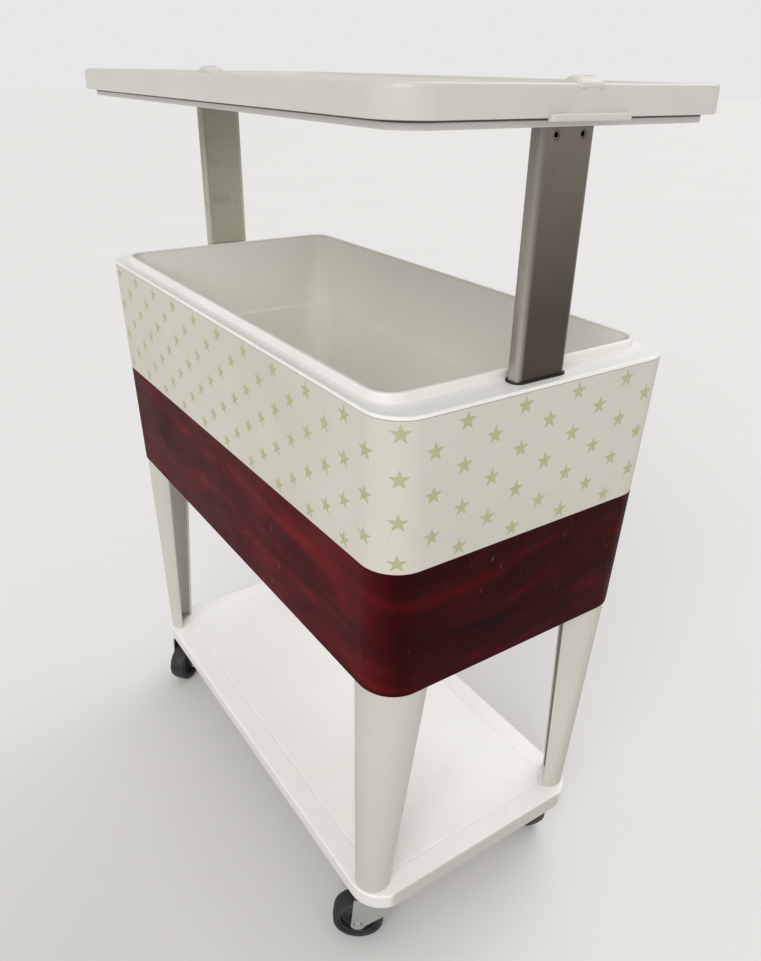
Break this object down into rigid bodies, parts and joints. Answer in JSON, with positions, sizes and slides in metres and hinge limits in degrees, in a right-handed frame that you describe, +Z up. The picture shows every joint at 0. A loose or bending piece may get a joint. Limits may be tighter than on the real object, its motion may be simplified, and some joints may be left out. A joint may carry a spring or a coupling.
{
  "type": "rolling cooler cart",
  "caption": "Insulated white tub on four tapered legs over a shelf with swivel casters; a lid rises on two flat columns and buttons release their brakes.",
  "frame": {"origin": "On the floor under the middle of the cart, at the bottom centre of its box.", "axes": "+X runs along the cart's length towards its right end, +Y towards its rear, +Z up."},
  "size_m": [0.847, 0.4364, 1.1283],
  "materials": {
    "white_paint": "satin white powder coat",
    "shelf_plastic": "satin moulded white",
    "printed_film": "satin printed film, off-white with pale stars over a burgundy band",
    "inner_tub": "moulded off-white plastic",
    "insulation": "light rigid foam",
    "white_plastic": "glossy moulded white",
    "pan_plastic": "moulded light grey",
    "leg_paint": "satin white powder coat",
    "column_metal": "brushed dark grey",
    "grey_plastic": "moulded grey",
    "black_rubber": "matt black",
    "tyre_rubber": "matt black tread",
    "wheel_plastic": "moulded dark grey",
    "zinc": "bright zinc plate",
    "black_screw": "black oxide"
  },
  "bodies": {
    "cart": {"tub_shell": "white_paint", "printed_wrap": "printed_film", "tub_liner": "inner_tub", "tub_foam": "insulation", "rim_frame": "white_plastic", "column_gasket_right": "black_rubber", "column_gasket_left": "black_rubber", "column_sleeve_right": "grey_plastic", "column_sleeve_left": "grey_plastic", "leg_front_right": "leg_paint", "leg_front_left": "leg_paint", "leg_rear_right": "leg_paint", "leg_rear_left": "leg_paint", "base_shelf": "shelf_plastic", "drain_fitting": "white_plastic", "drain_nut": "white_plastic", "leg_screws": "zinc", "caster_screws": "zinc", "caster_plate_front_right": "zinc", "caster_plate_front_left": "zinc", "caster_plate_rear_right": "zinc", "caster_plate_rear_left": "zinc"},
    "drain_cap": {"drain_cap": "white_plastic"},
    "lid": {"lid_cover": "white_plastic", "lid_pan": "pan_plastic", "lid_foam": "insulation", "lid_seal": "black_rubber", "column_head_right": "grey_plastic", "column_head_left": "grey_plastic", "column_foot_right": "grey_plastic", "column_foot_left": "grey_plastic", "column_screws": "black_screw", "grip_right": "white_plastic", "grip_left": "white_plastic", "button_spring_right": "zinc", "button_spring_left": "zinc", "column_right": "column_metal", "column_left": "column_metal"},
    "button_right": {"release_button_right": "white_plastic", "push_rod_right": "zinc"},
    "shoe_right": {"brake_shoe_right": "black_rubber"},
    "button_left": {"release_button_left": "white_plastic", "push_rod_left": "zinc"},
    "shoe_left": {"brake_shoe_left": "black_rubber"},
    "fork_front_right": {"fork_front_right": "zinc", "axle_front_right": "zinc"},
    "wheel_front_right": {"hub_front_right": "wheel_plastic", "tyre_front_right": "tyre_rubber"},
    "fork_front_left": {"fork_front_left": "zinc", "axle_front_left": "zinc"},
    "wheel_front_left": {"hub_front_left": "wheel_plastic", "tyre_front_left": "tyre_rubber"},
    "fork_rear_right": {"fork_rear_right": "zinc", "axle_rear_right": "zinc"},
    "wheel_rear_right": {"hub_rear_right": "wheel_plastic", "tyre_rear_right": "tyre_rubber"},
    "fork_rear_left": {"fork_rear_left": "zinc", "axle_rear_left": "zinc"},
    "wheel_rear_left": {"hub_rear_left": "wheel_plastic", "tyre_rear_left": "tyre_rubber"}
  },
  "joints": [
    {"name": "lid_lift", "type": "slide", "parent": "cart", "child": "lid", "axis": [0, 0, 1], "range_m": [-0.242, 0]},
    {"name": "button_press_right", "type": "slide", "parent": "lid", "child": "button_right", "axis": [0, 0, -1], "range_m": [0, 0.003], "stiffness_N_per_m": 600, "springref_m": -0.004, "deforming": ["button_spring_right"]},
    {"name": "button_press_left", "type": "slide", "parent": "lid", "child": "button_left", "axis": [0, 0, -1], "range_m": [0, 0.003], "stiffness_N_per_m": 600, "springref_m": -0.004, "deforming": ["button_spring_left"]},
    {"name": "shoe_slide_right", "type": "slide", "parent": "lid", "child": "shoe_right", "axis": [-1, 0, 0], "range_m": [0, 0.0015]},
    {"name": "shoe_slide_left", "type": "slide", "parent": "lid", "child": "shoe_left", "axis": [1, 0, 0], "range_m": [0, 0.0015]},
    {"name": "drain_cap_turn", "type": "hinge", "parent": "cart", "child": "drain_cap", "pos_m": [-0.25, 0, 0.477], "axis": [0, 0, 1], "range_deg": [0, 90]},
    {"name": "caster_swivel_front_right", "type": "hinge", "parent": "cart", "child": "fork_front_right", "pos_m": [0.348, -0.156, 0.09], "axis": [0, 0, 1], "continuous": true},
    {"name": "caster_swivel_front_left", "type": "hinge", "parent": "cart", "child": "fork_front_left", "pos_m": [-0.348, -0.156, 0.09], "axis": [0, 0, 1], "continuous": true},
    {"name": "caster_swivel_rear_right", "type": "hinge", "parent": "cart", "child": "fork_rear_right", "pos_m": [0.348, 0.156, 0.09], "axis": [0, 0, 1], "continuous": true},
    {"name": "caster_swivel_rear_left", "type": "hinge", "parent": "cart", "child": "fork_rear_left", "pos_m": [-0.348, 0.156, 0.09], "axis": [0, 0, 1], "continuous": true},
    {"name": "wheel_spin_front_right", "type": "hinge", "parent": "fork_front_right", "child": "wheel_front_right", "pos_m": [0.33079, -0.18058, 0.0375], "axis": [0.8192, -0.5736, 0], "continuous": true},
    {"name": "wheel_spin_front_left", "type": "hinge", "parent": "fork_front_left", "child": "wheel_front_left", "pos_m": [-0.32995, -0.17996, 0.0375], "axis": [0.7986, 0.6018, 0], "continuous": true},
    {"name": "wheel_spin_rear_right", "type": "hinge", "parent": "fork_rear_right", "child": "wheel_rear_right", "pos_m": [0.31846, 0.16121, 0.0375], "axis": [-0.1736, -0.9848, 0], "continuous": true},
    {"name": "wheel_spin_rear_left", "type": "hinge", "parent": "fork_rear_left", "child": "wheel_rear_left", "pos_m": [-0.33079, 0.18058, 0.0375], "axis": [-0.8192, 0.5736, 0], "continuous": true}
  ],
  "couplings": [
    {"joint": "shoe_slide_right", "follows": "button_press_right", "ratio": 0.5},
    {"joint": "shoe_slide_left", "follows": "button_press_left", "ratio": 0.5}
  ]
}
